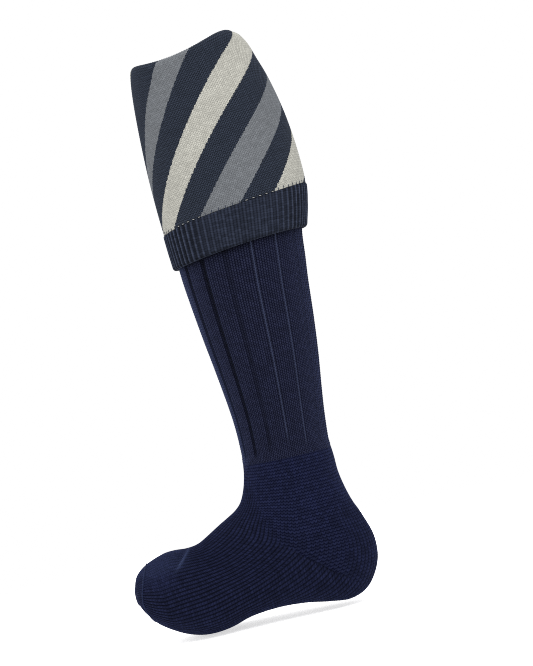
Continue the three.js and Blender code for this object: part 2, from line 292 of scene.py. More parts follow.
# %% Mesh helpers
def unit(vectors):
    """The same directions with length 1: each vector divided by its length."""
    return vectors / np.maximum(np.linalg.norm(vectors, axis=-1, keepdims=True), 1e-9)


def normals_of(grid):
    """Unit normals of a grid that closes round its columns: the cross product of the steps along and across it."""
    across = np.roll(grid, -1, 1) - np.roll(grid, 1, 1)
    along = np.gradient(grid, axis=0)
    normal = unit(np.cross(across, along))
    return normal * np.sign((normal * (grid - grid.mean(1, keepdims=True))).sum(-1).mean())


def smooth_mesh(name, points, faces):
    """A smooth-shaded mesh, with a UV map called knit, of points in millimetres."""
    mesh = bpy.data.meshes.new(name)
    mesh.from_pydata((points / 1000).tolist(), [], faces)
    mesh.uv_layers.new(name="knit")
    mesh.polygons.foreach_set("use_smooth", np.ones(len(mesh.polygons), bool))
    mesh.update()
    return mesh


def wrap(a):
    """Repeat the first column at the end, for the face that closes each row."""
    return np.hstack([a, a[:, :1]])


def knit_mesh(name, grid, wales, courses, next_courses=None, ends=None, values=None, corner_values=None):
    """A closed mesh from rows x columns x 3 millimetres, with a stitch-counting UV map called knit.

    wales and courses fill rows x (columns + 1). next_courses gives the course number that the face below a row uses
    at its lower corners, for places where the count jumps. ends is a pair of points that close the first and last
    rows; without it the last row joins the first. values are per vertex, and 0 for last rows that they leave out;
    corner_values are per face.
    """
    rows, columns = grid.shape[:2]
    wales, courses = (np.broadcast_to(a, (rows, columns + 1)) for a in (wales, courses))
    strips = rows - 1 if ends is not None else rows
    i, j = np.meshgrid(np.arange(strips), np.arange(columns), indexing="ij")
    below, beside = (i + 1) % rows, (j + 1) % columns
    faces = np.stack([i * columns + j, i * columns + beside, below * columns + beside, below * columns + j], -1)
    faces = faces.reshape(-1, 4)
    if next_courses is None:
        next_courses = np.roll(courses, -1, 0)
    corner_u = np.stack([wales[i, j], wales[i, j + 1], wales[below, j + 1], wales[below, j]], -1).reshape(-1, 4)
    corner_v = np.stack([courses[i, j], courses[i, j + 1], next_courses[i, j + 1], next_courses[i, j]], -1)
    corner_v = corner_v.reshape(-1, 4)
    points = grid.reshape(-1, 3)
    a, b, c, d = (points[faces[:, k]] for k in range(4))
    volume = (np.cross(b - a, c - a) * (a + b + c)).sum() + (np.cross(c - a, d - a) * (a + c + d)).sum()
    inside_out = volume < 0
    if inside_out:
        faces, corner_u, corner_v = faces[:, ::-1], corner_u[:, ::-1], corner_v[:, ::-1]
    all_faces, loops_u, loops_v = faces.tolist(), corner_u.ravel(), corner_v.ravel()
    if ends is not None:
        points = np.vstack([points, ends])
        first, last = rows * columns, rows * columns + 1
        ring = np.arange(columns)
        after = (ring + 1) % columns
        base = (rows - 1) * columns
        caps = np.vstack([np.stack([np.full(columns, first), after, ring], 1),
                          np.stack([np.full(columns, last), base + ring, base + after], 1)])
        cap_u = np.concatenate([np.stack([wales[0, :-1], wales[0, 1:], wales[0, :-1]], 1),
                                np.stack([wales[-1, :-1], wales[-1, :-1], wales[-1, 1:]], 1)])
        cap_v = np.repeat(courses[[0, -1], :-1].reshape(-1, 1), 3, 1)
        if inside_out:
            caps, cap_u, cap_v = caps[:, ::-1], cap_u[:, ::-1], cap_v[:, ::-1]
        all_faces += caps.tolist()
        loops_u, loops_v = np.append(loops_u, cap_u), np.append(loops_v, cap_v)
    mesh = smooth_mesh(name, points, all_faces)
    mesh.uv_layers["knit"].data.foreach_set("uv", np.stack([loops_u, loops_v], 1).astype(np.float32).ravel())
    for key, value in (values or {}).items():
        full = np.zeros(len(points), np.float32)
        full[:value.size] = value.reshape(-1)
        mesh.attributes.new(key, "FLOAT", "POINT").data.foreach_set("value", full)
    for key, value in (corner_values or {}).items():
        full = np.zeros(len(mesh.loops), np.float32)
        full[:strips * columns * 4] = np.repeat(value[:strips].reshape(-1), 4)
        mesh.attributes.new(key, "FLOAT", "CORNER").data.foreach_set("value", full)
    print(name, "has", 2 * columns * (strips + (ends is not None)), "triangles")
    return mesh


def place_piece(mesh, material, replaced=()):
    """Put a finished mesh into the scene as a piece of the same name that rides on the sock's one body."""
    piece = bpy.data.objects.new(mesh.name, mesh)
    bpy.context.collection.objects.link(piece)
    mesh.materials.append(material)
    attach(piece, "root")
    if replaced:
        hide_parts(*replaced)


# %% [markdown]
# ## How knitted wool looks
# A plain-knit stitch is a small V of two leaning legs of yarn. The pattern is made from the stitch-counting UV map:
# the distance from the wale's centre line tilts the row, which gives the V, and two soft arches give each leg of
# yarn its round back. The wale ridges themselves are in the mesh. The yarn is spun from short matt fibres, which
# light up at grazing angles, so the shader has a soft sheen. Real wales and courses may be finer than the two or
# three millimetres that they take up here, which let them show in a picture of the whole sock.


# %% Knit pattern
WANDER = 0.4  # how far the rows wander, in courses, from end to end of the noise
FIBRE_SCALE = 1600.0  # tufts of fibre about 0.6 mm wide, as noise cells to the metre
PATCH_SCALE = 45.0  # clouds of slightly other dye, about 22 mm wide
BUMP_HEIGHT = 0.0006  # relief of the pattern at full strength, metres


def knit_height(add, row_depth, leg_depth, slant=0.5, phase=0.0, calm=0.0, stagger=0.0):
    """Node outputs (height from 0 to 1, stitch number as a vector) of a plain-knit pattern on the knit UV map.

    height = 1 - row_depth * (1 - arch of the course share) - leg_depth * (1 - arch of the share of half a wale),
    where an arch is the sine of half a turn. The course is moved up by slant times the distance from the wale's
    centre line, and by stagger on the right leg of each stitch, and it wanders a little. calm takes that share of
    the row's depth away where the mesh's ribby value is 1. add is add_node for one material's tree.
    """
    uv = add("UVMap", {}, uv_map="knit")
    apart = add("SeparateXYZ", {0: uv})
    wale = add("Math", {0: apart, 1: phase}, operation="ADD")
    share = add("Math", {0: wale}, operation="FRACT")
    centred = add("Math", {0: share, 1: 2.0, 2: -1.0}, operation="MULTIPLY_ADD")
    side = add("Math", {0: centred}, operation="ABSOLUTE")
    drift = add("TexNoise", {"Vector": uv, "Scale": 0.45, "Detail": 1.0}, noise_dimensions="2D")
    wandered = add("Math", {0: drift.outputs["Fac"], 1: WANDER, 2: apart.outputs[1]}, operation="MULTIPLY_ADD")
    leaned = add("Math", {0: side, 1: slant, 2: wandered}, operation="MULTIPLY_ADD")
    if stagger:
        right_leg = add("Math", {0: centred, 1: 0.0}, operation="GREATER_THAN")
        leaned = add("Math", {0: right_leg, 1: stagger, 2: leaned}, operation="MULTIPLY_ADD")
    course = add("Math", {0: leaned}, operation="FRACT")
    arches = []
    for part, depth in ((course, row_depth), (side, leg_depth)):
        turn = add("Math", {0: part, 1: np.pi}, operation="MULTIPLY")
        arch = add("Math", {0: turn}, operation="SINE")
        lost = add("Math", {0: 1.0, 1: arch}, operation="SUBTRACT")
        arches.append(add("Math", {0: lost, 1: depth}, operation="MULTIPLY"))
    if calm:
        ribby = add("Attribute", {}, attribute_name="ribby")
        keep = add("Math", {0: ribby.outputs["Fac"], 1: -calm, 2: 1.0}, operation="MULTIPLY_ADD")
        arches[0] = add("Math", {0: arches[0], 1: keep}, operation="MULTIPLY")
    both = add("Math", {0: arches[0], 1: arches[1]}, operation="ADD")
    height = add("Math", {0: 1.0, 1: both}, operation="SUBTRACT", use_clamp=True)
    wale_number = add("Math", {0: wale}, operation="FLOOR")
    course_number = add("Math", {0: leaned}, operation="FLOOR")
    stitch = add("CombineXYZ", {0: wale_number, 1: course_number})
    return height.outputs[0], stitch.outputs[0]


def wool(name, colours, row_depth, leg_depth, painted_gap_shade=None, bump=0.6, shade=0.5, heather=0.15, phase=0.0, slant=0.5,
         sheen=0.3, sheen_tint="#8f9bc0", lights=(), calm=0.0, stagger=0.0):
    """A matt knitted-wool material.

    colours lists one hex colour, or three that the mesh's yarn value picks among. The gaps between stitches get
    painted shade: they go to the given gap colour, or without one are darkened by shade. heather is how much single
    stitches differ. lights lists painted light as (value name, strength, hex colour): where the mesh's value is 1, a
    negative strength paints shade that darkens the wool by that share, and a positive one paints a highlight that
    mixes in the colour, most of all on the stitches' backs.
    """
    material = bpy.data.materials.new(name)
    material.use_nodes = True
    tree = material.node_tree
    add = partial(add_node, tree)
    height, stitch = knit_height(add, row_depth, leg_depth, slant, phase, calm, stagger)
    base = linear(colours[0])
    over = []
    for limit, code in enumerate(colours[1:]):
        yarn = add("Attribute", {}, attribute_name="yarn")
        over.append(add("Math", {0: yarn.outputs["Fac"], 1: limit + 0.5}, operation="GREATER_THAN"))
        base = add("Mix", {"Factor": over[-1], 6: base, 7: linear(code)}, data_type="RGBA").outputs[2]
    random = add("TexWhiteNoise", {"Vector": stitch}, noise_dimensions="2D")
    place = add("TexCoord", {}).outputs["Object"]
    fibres = add("TexNoise", {"Vector": place, "Scale": FIBRE_SCALE, "Detail": 3.0, "Roughness": 0.6})
    patches = add("TexNoise", {"Vector": place, "Scale": PATCH_SCALE, "Detail": 2.0})
    # Painted shade: the low parts of the knit pattern, the gaps between stitches, are darkened or mixed toward the
    # gap colour.
    deep = add("MapRange", {"Value": height, "From Min": 0.2, "From Max": 0.95,
                            "To Min": 0.0 if painted_gap_shade else 1.0 - shade, "To Max": 1.0})
    if painted_gap_shade:
        base = add("Mix", {"Factor": deep, 6: linear(painted_gap_shade), 7: base}, data_type="RGBA").outputs[2]
    if over:
        power = add("Math", {0: 1.5, 1: over[0]}, operation="SUBTRACT")
        deep = add("Math", {0: deep, 1: power}, operation="POWER")
    product = 1.0 if painted_gap_shade else deep
    for source, low, spread in ((random.outputs["Value"], 0.0, heather), (patches.outputs["Fac"], 0.3, 0.02),
                                (fibres.outputs["Fac"], 0.3, 0.15)):
        factor = add("MapRange", {"Value": source, "From Min": low, "From Max": 1.0 - low,
                                  "To Min": 1.0 - spread, "To Max": 1.0 + spread})
        product = add("Math", {0: product, 1: factor}, operation="MULTIPLY")
    # Painted shade where a mesh value with a negative strength marks it.
    for value_name, strength, _ in lights:
        if strength < 0:
            value = add("Attribute", {}, attribute_name=value_name)
            keep = add("Math", {0: value.outputs["Fac"], 1: strength, 2: 1.0}, operation="MULTIPLY_ADD")
            product = add("Math", {0: product, 1: keep}, operation="MULTIPLY")
    colour = add("VectorMath", {0: base if painted_gap_shade or over else base[:3], "Scale": product}, operation="SCALE")
    # Painted highlights where a mesh value with a positive strength marks them.
    for value_name, strength, code in lights:
        if strength > 0:
            value = add("Attribute", {}, attribute_name=value_name)
            narrow = add("Math", {0: value.outputs["Fac"], 1: 3.0}, operation="POWER")
            dashes = add("Math", {0: height, 1: 0.5, 2: 0.5}, operation="MULTIPLY_ADD")
            dashed = add("Math", {0: narrow, 1: dashes}, operation="MULTIPLY")
            amount = add("Math", {0: dashed, 1: strength}, operation="MULTIPLY", use_clamp=True)
            colour = add("Mix", {"Factor": amount, 6: colour, 7: linear(code)}, data_type="RGBA").outputs[2]
    rough = add("Math", {0: fibres.outputs["Fac"], 1: 0.35, 2: height}, operation="MULTIPLY_ADD")
    bumped = add("Bump", {"Height": rough, "Strength": bump, "Distance": BUMP_HEIGHT})
    fill(tree.nodes["Principled BSDF"], {
        "Base Color": colour, "Normal": bumped, "Roughness": 0.92, "Specular IOR Level": 0.05,
        "Sheen Weight": sheen, "Sheen Roughness": 0.35, "Sheen Tint": linear(sheen_tint)})
    return material


# %% [markdown]
# ## Materials
# All the yarn is worsted wool: matt, slightly fuzzy, dyed in the fibre. The gaps between stitches get painted shade,
# which is almost black on the navy. The slate is a melange, spun from lighter and darker fibres, so its single
# stitches differ more.

# %% Wool materials
# Painted light: negative lights paint shade; positive ones paint highlights on the turned wale, shin edge and toe.
navy_ribbed = wool("navy_worsted_wide_rib", ["#222537"], row_depth=0.6, leg_depth=0.65, painted_gap_shade="#010214", bump=0.8,
                   heather=0.2, phase=0.5, slant=0.1, stagger=0.5, sheen=0.22, sheen_tint="#5f6da4",
                   lights=(("groove", -0.85, None), ("purl", 0.8, "#4f5875"), ("painted_highlight", 0.25, "#3a4464")))
navy_plain = wool("navy_worsted_plain_knit", ["#181c33"], row_depth=0.95, leg_depth=0.25, painted_gap_shade="#010318", bump=0.9,
                  heather=0.25, phase=0.5, slant=0.4, sheen=0.17, sheen_tint="#5667a6", calm=0.6,
                  lights=(("groove", -0.8, None), ("painted_highlight", 0.5, "#3a4464")))
striped = wool("worsted_intarsia_stripes", ["#2d333f", "#66696d", "#a4a39b"], row_depth=0.7, leg_depth=0.5, bump=0.5,
               shade=0.65, heather=0.1, phase=0.5, slant=0.4, sheen=0.1, sheen_tint="#a0a8b8")
# Painted light: shade in the rib troughs and at the hem, and a faint highlight on the crests of the flat ribs.
slate_ribbed = wool("slate_melange_fine_rib", ["#2f3545"], row_depth=0.3, leg_depth=0.6, bump=0.6, shade=0.7,
                    heather=0.25, phase=0.25, slant=0.3, sheen=0.12, sheen_tint="#8a92a8",
                    lights=(("groove", -0.9, None), ("painted_crest_highlight", 0.05, "#5a6170")))

# %% [markdown]
# ## The ribbed leg
# The leg is knitted in wide ribs: four plain wales that stand up, then one turned wale that sinks into a groove.
# Fifteen of them go round the leg. Where the calf stretches the knit the grooves open and go shallow, and the turned
# wale stands up in them with a thin painted highlight; at the shin they stay deep, with painted shade in them. The
# surface is the sock's form with the ribs laid along its normals. The part that the cuff hides is smooth, and has few
# rows.

# %% Leg sizes
RIB_COUNT = 15  # wide ribs round the leg
RIB_WALES = 5  # four plain wales and the turned one
RIB_START = 0.833  # place of the first groove, as a share of a rib from the shin
RIB_TURN = -0.20  # how far the ribs turn round the leg from the ankle to the top, radians
RIB_STRAIGHT = 0.43  # the share of the way up at which a rib is at its named place
RIB_LENGTH = 350.0  # top fold down to the last ribbed row
RIB_GROOVE = 1.7  # depth of the groove
SAMPLES = 4  # mesh columns to a wale
LEG_COURSE = 2.1  # height of a course on the leg
WALE_RIDGE = 0.24  # how far a wale stands above the gap beside it, up and down from the form
COURSE_BEAD = 0.09  # how far the rows of mesh stand up and down in turn, which rounds each course
COURSE_BOW = 0.08  # how far a course dips at each wale's centre, as a share of its height
PURL_RISE = 0.3  # how far the turned wale stands up where the groove is open
HEM_SHADOW = 1.8  # how fast the shadow under the band's hem fades
CUFF_LENGTH = 141.0  # top fold down to the band, at the side
BAND_HEIGHT = 31.6
FOLD_LENGTH = 8.0  # how far the cuff goes down inside the top
FOLD_HEIGHT = 4.6
SEAM_GAP = 0.3
TOP_RISE, TOP_DIP, TOP_WAVE = 7.0, 3.6, 2.2
BAND_RISE, HEM_RISE = 9.2, 6.4
HIDDEN_FROM = -158.0  # the leg above this is inside the cuff
HIDDEN_ROWS = 8
INNER_ROWS = 26


def top_edge(phi):
    """Height of the folded top: it rises towards the calf, dips at each side and lies in one soft wave."""
    round_leg = np.arccos(np.clip(np.cos(phi), -1, 1))
    wave = TOP_WAVE * np.cos(2.6 * round_leg) * (1 - smooth((round_leg - 2.6) / 0.5))
    return -TOP_RISE * np.cos(phi) - TOP_DIP * (1 + np.sin(phi) ** 2) + wave


def band_top(phi):
    """Height of the band's upper edge round the leg."""
    return -CUFF_LENGTH - BAND_RISE * (0.78 * np.cos(phi) + 0.22 * np.cos(phi) ** 3)


def band_hem(phi):
    """Height of the band's lower edge round the leg."""
    return -CUFF_LENGTH - BAND_HEIGHT - HEM_RISE * (np.cos(phi) + 0.19 * np.cos(phi) ** 2)


def leg_angle(wale, z):
    """Angle round the leg of a wale at height z: even steps, with a slow turn from the ankle to the top."""
    named = 2 * np.pi * (wale / RIB_WALES + RIB_START) / RIB_COUNT
    return named + RIB_TURN * (1 + z / LEG_LENGTH - RIB_STRAIGHT)


def from_shin(phi):
    """Degrees round from the shin, 0 to 180, the same on either side."""
    return np.degrees(np.arccos(np.clip(np.cos(phi), -1, 1)))


# %% Leg form
columns = RIB_COUNT * RIB_WALES * SAMPLES
wale = np.arange(columns) / SAMPLES
visible = np.arange(HIDDEN_FROM, -RIB_LENGTH - 0.01, -LEG_COURSE / 2)
visible[-1] = -RIB_LENGTH
hidden = np.linspace(0, 1, HIDDEN_ROWS + 1)[:-1]
start = top_edge(leg_angle(wale, 0.0)) - FOLD_LENGTH - 2 * SEAM_GAP
z = np.vstack([start * (1 - share) + HIDDEN_FROM * share for share in hidden]
              + [np.full(columns, height) for height in visible])
phi = leg_angle(wale, z)
base = skin(place_of(z), phi)
outward = normals_of(base)

# %% Leg ribs
from_groove = np.abs((wale + RIB_WALES / 2) % RIB_WALES - RIB_WALES / 2)
openness = np.interp(from_shin(phi), (0, 30, 55, 76, 98, 125, 150, 180), (1, 1, 0.95, 0.4, 0.25, 0.2, 0.2, 0.5))
run_out = smooth((z + RIB_LENGTH - 1) / np.interp(from_shin(phi), (0, 55, 80, 110, 125, 180), (9, 9, 22, 22, 6, 6)))
groove = np.interp(from_groove, (0, 0.25, 0.5, 0.75, 1.0), (1.0, 0.8, 0.3, 0.05, 0)) * openness * run_out
# Painted shadow that the band's hem casts on the leg, fading below the hem.
painted_hem_shadow = np.exp(-np.clip(band_hem(phi) - z, 0, 50) / HEM_SHADOW)
ridge = WALE_RIDGE * np.cos(2 * np.pi * wale) * np.ones_like(z)
showing = smooth((HIDDEN_FROM - z) / 4 + 1)
seam_fade = smooth((z + RIB_LENGTH) / 1.5)
bead = np.zeros_like(z)
bead[len(hidden):] = COURSE_BEAD * np.cos(np.pi * np.arange(len(visible)))[:, None]
# The turned wale stands up in open grooves, and the wool paints a thin highlight on it.
purl = (from_groove < 0.1) * np.interp(from_shin(phi), (0, 75, 90, 125, 140, 180), (0, 0, 1, 1, 0.1, 0)) * run_out
relief = -RIB_GROOVE * groove + showing * seam_fade * (ridge + bead) + PURL_RISE * purl * showing
outer = base + outward * relief[..., None]
outer[..., 2] += -COURSE_BOW * LEG_COURSE * np.cos(2 * np.pi * wale) * showing * seam_fade
print("ribs from", round(float(relief.min()), 2), "to", round(float(relief.max()), 2), "mm")

# %% Leg mesh
inner_pick = np.unique(np.linspace(0, len(z) - 1, INNER_ROWS).astype(int))
inner = (base - outward * WALL)[inner_pick][::-1]
leg_grid = np.vstack([outer, inner])
leg_rows_z = np.vstack([z, z[inner_pick][::-1]])
wales = np.arange(columns + 1) / SAMPLES
# Painted shade for the wool: deep in the grooves, a little between the wales, less on the turned wale, and under the
# hem.
between_wales = (1 + np.cos(2 * np.pi * (wale + 0.5))) / 2
painted_shade = np.clip(groove + 0.2 * between_wales - 0.6 * purl + 0.8 * painted_hem_shadow, 0, 0.95)
# A painted highlight lightens the strip of the leg next to the shin.
leg_mesh = knit_mesh("ribbed_leg_knit", leg_grid, wales, wrap(-leg_rows_z) / LEG_COURSE, values={
    "groove": painted_shade, "purl": purl, "painted_highlight": smooth((from_shin(phi) - 36) / -20)})
place_piece(leg_mesh, navy_ribbed, ["ribbed_leg"])

# %% [markdown]
# ## The plain foot, with its heel and toe
# Below the ribs the tube goes on in plain knit. Its wales run down the shin and over the instep to the toe. At the
# heel short rows make a cup: its wales come down behind the ankle, go under and meet the sole's wales along a
# slanting line, the gore. The wales are numbered by their distance from the middle of the instep. The foot grows
# slimmer in front of the gore, so some of them run out under the sole, and the rest lie side by side to the toe. The
# rows, which show best on the ankle, are level down to the gore line and upright in front of it.

# %% Foot sizes
FOOT_WALES = 90  # round the sock at the gore line
FOOT_COLUMNS = 336  # columns of the mesh round the foot
RUN_OFF = 0.6  # share of the shrinking girth that wales running out under the sole take up
RUN_END = 32.5  # in front of this station no more of them run out
ANKLE_COURSE = 2.66  # height of a course on the ankle
FOOT_COURSE = 2.4
GORE_PLACE = 24.0  # the station along which the heel's gore line lies
FOOT_RIDGE = 0.42  # how far a wale stands above the gap beside it, up and down from the form
GORE_DIP = 0.35  # depth of the fine line along the gore
LEAST_RIBBY = 0.3  # how much of the wales' relief shows where the rows show most
ROW_STEPS = (1.25, 1.15, 1.5)  # longest step between rows along the instep, the side and the sole
TIP_ROWS = 5  # rows that round off the toe's end
CREASE_FROM, CREASE_TO = np.array([-82.0, -404.5]), np.array([-101.0, -424.0])
CREASE_RISE, CREASE_DIP = 0.8, 0.9  # height of the crease across the toes, and depth of the dip before it
FOOT_INNER_ROWS = 34
foot_start = float(place_of(-RIB_LENGTH))


# %% Foot rows and wales
def even_angles(t, columns):
    """Angles from minus pi to pi that cut each section into equal lengths, and the length of half of each section."""
    fine = np.linspace(0, np.pi, 721)
    ring = skin(t[:, None], fine[None, :])
    length = np.linalg.norm(np.diff(ring, axis=1), axis=-1).cumsum(1)
    half_girth = length[:, -1]
    length = np.hstack([np.zeros((len(t), 1)), length]) / length[:, -1:]
    half = np.arange(columns // 2 + 1) / (columns // 2)
    angles = np.stack([np.interp(half, row, fine) for row in length])
    return np.hstack([-angles[:, :0:-1], angles[:, :-1]]), half_girth


fine_t = np.linspace(foot_start, LAST, 4000)
lines = skin(fine_t[:, None], np.array([0.0, np.pi / 2, np.pi])[None, :])
steps = np.linalg.norm(np.diff(lines, axis=0), axis=-1) / ROW_STEPS
count = np.concatenate([[0], steps.max(1).cumsum()])
foot_t = np.interp(np.linspace(0, count[-1], int(count[-1]) + 1), count, fine_t)
gore_row = int(np.abs(foot_t - GORE_PLACE).argmin())
foot_t[gore_row] = GORE_PLACE
columns = FOOT_COLUMNS
phi, half_girth = even_angles(foot_t, columns)
girth_at = np.interp(np.clip(foot_t, GORE_PLACE, RUN_END), foot_t, half_girth)
running = 1 + RUN_OFF * (girth_at / half_girth[gore_row] - 1)
wale = (2 * np.arange(columns + 1) / columns - 1) * FOOT_WALES / 2 * running[:, None]
t = np.broadcast_to(foot_t[:, None], phi.shape)
base = skin(t, phi)
tip_turn = np.linspace(0, np.pi / 2, TIP_ROWS + 2)[1:-1, None, None]
tip = toe_tip + (base[-1] - toe_tip) * np.cos(tip_turn)
tip[..., 0] = base[-1, :, 0] + (toe_tip[0] - base[-1, :, 0]) * np.sin(tip_turn[..., 0])
base = np.vstack([base, tip])
phi = np.vstack([phi, np.repeat(phi[-1:], len(tip), 0)])
t = np.vstack([t, np.full((len(tip), columns), float(LAST)) + np.arange(1, len(tip) + 1)[:, None] * 0.1])
wale = np.vstack([wale, np.repeat(wale[-1:], len(tip), 0)])
outward = normals_of(base)
print(len(base), "rows of foot, gore at row", gore_row)

# %% Foot courses
forward = np.cos(phi)
corner = station_at(np.array([GORE_PLACE]))[0]
side_line = station_at(np.clip(t, 0, LAST))
level = (corner[5] - base[..., 2]) / ANKLE_COURSE
upright = (corner[4] - base[..., 0]) / FOOT_COURSE
fan = np.where(t < GORE_PLACE, (corner[5] - side_line[..., 5]) / ANKLE_COURSE,
               (corner[4] - side_line[..., 4]) / FOOT_COURSE)
heel_side = forward < 0
above = np.where(heel_side, level, fan)
below = np.where(heel_side, upright, fan)
rows = np.arange(len(base))[:, None]
top_courses = np.where(rows < gore_row, above, below)
low_courses = np.where(rows + 1 <= gore_row, np.roll(above, -1, 0), np.roll(below, -1, 0))

# %% Foot relief
edge = np.interp(t, (16, 18, 20, 22, 23.6, 24.4), (1.15, 0.8, 0.5, 0.25, 0.0, -1.5))
in_front = smooth((forward - edge) / 0.4 + 0.5)
under = smooth((t - 23.7) / 0.6)
heel_back = 0.75 * smooth((-forward - 0.35) / 0.5) * smooth((t - 18) / 3)
ribby = np.where(heel_side, np.maximum(under, heel_back), in_front)
ribby = np.maximum(ribby, LEAST_RIBBY)
seam_fade = smooth((-RIB_LENGTH - base[..., 2]) / 1.5)
tip_fade = 1 - smooth((t - (LAST - 1)) / 1.2)
crests = np.cos(2 * np.pi * wale[:, :-1])
relief = FOOT_RIDGE * ribby * crests * seam_fade * tip_fade
gore_line = np.exp(-((t - GORE_PLACE) / 0.09) ** 2) * heel_side * (1 - smooth((-forward - 0.55) / 0.3))
relief -= GORE_DIP * gore_line

run = CREASE_TO - CREASE_FROM
reach = np.linalg.norm(run)
flat = base[..., [0, 2]] - CREASE_FROM
along = flat @ run / reach ** 2
across = (flat[..., 0] * -run[1] + flat[..., 1] * run[0]) / reach
near = smooth((6 - base[..., 1]) / 18) * smooth((1.15 - along) / 0.7) * smooth((along + 0.4) / 0.5)
streak = near * np.exp(-(across / 1.3) ** 2)
relief += CREASE_RISE * streak - CREASE_DIP * near * np.exp(-((across + 3.4) / 2.2) ** 2)
outer = base + outward * relief[..., None]
print("relief from", round(float(relief.min()), 2), "to", round(float(relief.max()), 2), "mm")

# %% Foot mesh
inner_pick = np.unique(np.linspace(0, len(base) - 1, FOOT_INNER_ROWS).astype(int))
inner = (base - outward * WALL)[inner_pick][::-1]
foot_grid = np.vstack([inner, outer])
pad = np.zeros((len(inner), columns + 1))
wales = np.vstack([wale[inner_pick][::-1], wale])
up_facing = np.clip(outward[..., 2], 0, 1)
# Painted shade between the wales, less on the toe's upward face, where light falls.
painted_gap_shade = (1 - crests) / 2 * ribby * seam_fade * tip_fade
painted_gap_shade *= 1 - 0.65 * smooth(up_facing / 0.5) * smooth((-94 - base[..., 0]) / 16)
# A painted highlight on the toe's upward face and along the crease across the toes.
painted_highlight = 0.6 * smooth((up_facing - 0.25) / 0.5) * smooth((-68 - base[..., 0]) / 30) + 0.5 * streak
# Painted shade where the level rows show, low on the heel and ankle.
shaded_heel = 0.2 * smooth((1 - ribby) / (1 - LEAST_RIBBY)) * smooth((-385 - base[..., 2]) / 45)
# The groove value here is painted shade: between the wales, along the gore line and low on the heel.
foot_mesh = knit_mesh(
    "foot_knit", foot_grid, wales, np.vstack([pad, wrap(top_courses)]),
    next_courses=np.vstack([pad, wrap(low_courses)]),
    ends=np.stack([toe_tip + (WALL, 0, 0), toe_tip]),
    values={"groove": np.vstack([pad[:, :-1], np.clip(painted_gap_shade + 0.3 * gore_line + shaded_heel, 0, 1)]),
            "ribby": np.vstack([pad[:, :-1], ribby]), "painted_highlight": np.vstack([pad[:, :-1], painted_highlight])})
place_piece(foot_mesh, navy_plain, ["foot", "heel", "toe"])

# %% [markdown]
# ## The turned-down cuff
# The top of the tube is turned over outward, so it is a second ply outside the leg. Its coloured stripes are knitted
# in: every leg of yarn has one colour, so a stripe's edge goes down in small steps. The mesh has four columns for
# each wale and two rows for each course. Its rows dip at every wale's centre as knitted Vs do, and each small face
# carries one yarn number.

# %% Cuff sizes
CUFF_WALES = 132
CUFF_COURSES = 64
CUFF_CLEARANCE = 0.9
CUFF_WALL = 3.0
CUFF_RIDGE = 0.10  # how far the legs of the stitches stand up and down from the form
CHEVRON = 0.15  # dip of a row at a wale's centre, as a share of a course
TURN_STEPS = 12  # steps of mesh round the top fold
FOLD_AT, FOLD_RISE = 43.3, -0.9  # place of the soft upright fold near the top, front to back, and its height
STRIPE_PITCH = 104.0  # the pattern goes round the leg three times this
STRIPE_START = -140.0  # where the cream stripe begins, on the pattern's own scale
CREAM, SLATE, GREY = 24.4, 24.4, 28.6
LOW_CREAM = 1  # of the three cream stripes, the one that is broad where it passes behind the calf
CALF_BROADER = 18.0  # and by how much
WIDE_SLATE = 36.0  # the slate stripe at the shin is this much wider than the others
SHIN_NARROWER = 12.0  # and the grey stripe is this much narrower there
BEND_ONCE, BEND_TWICE = 30.9, 2.5  # how far the stripes stray from winding evenly, as waves round the leg
SHIN_STRETCH, SIDE_STRETCH = 0.088, 0.268  # how much less a height counts there


# %% Stripes
def yarn_of(phi, z):
    """Yarn number of a stitch: 0 slate, 1 grey, 2 cream.

    The place of a stitch down the pattern is its height, less where the stripes wind to at this angle. The knit is
    stretched round the calf, so a height counts for less at the sides than at the shin, and the stripes wind a
    little faster on the far side, where the wide slate stripe is made up for.
    """
    psi = np.where(phi > np.pi, 2 * np.pi - phi, -phi)
    turned = 1.5 * STRIPE_PITCH * psi / np.pi - WIDE_SLATE * smooth(-psi / np.pi)
    wound = turned + BEND_ONCE * np.sin(psi) + BEND_TWICE * np.sin(2 * psi)
    stretch = np.abs(np.sin(psi)) * np.where(psi > 0, 1, -np.cos(psi) ** 2)
    place = STRIPE_START - (z * (1 - SHIN_STRETCH * np.cos(psi) - SIDE_STRETCH * stretch) - wound)
    above_grey = CREAM + SLATE - STRIPE_PITCH - 4
    place = np.where(place > above_grey, place, np.minimum(place + WIDE_SLATE, above_grey))
    stripe = np.floor(place / STRIPE_PITCH)
    place = place % STRIPE_PITCH
    near, round_shin = psi > 0, np.abs(np.degrees(psi))
    at_calf = smooth(np.where(near, (round_shin - 135) / 40, (round_shin - 40) / 135))
    broader = CALF_BROADER * at_calf * (stripe % 3 == LOW_CREAM)
    narrower = SHIN_NARROWER * (1 - smooth(round_shin / np.where(near, 38, 140)))
    grey_from = CREAM + SLATE + narrower + 0.6 * broader
    grey_to = CREAM + SLATE + GREY + 0.4 * broader
    return np.where(place < CREAM + broader, 2.0, np.where((place > grey_from) & (place < grey_to), 1.0, 0.0))


# %% Cuff profile
columns = CUFF_WALES * SAMPLES
wale = np.arange(columns) / SAMPLES
phi_row = 2 * np.pi * np.arange(columns) / columns
top, foot = top_edge(phi_row), band_top(phi_row) + SEAM_GAP
face = CUFF_CLEARANCE + CUFF_WALL
middle, bend = (face - WALL) / 2, (face + WALL) / 2
course_rows = CUFF_COURSES * 2
profile = []
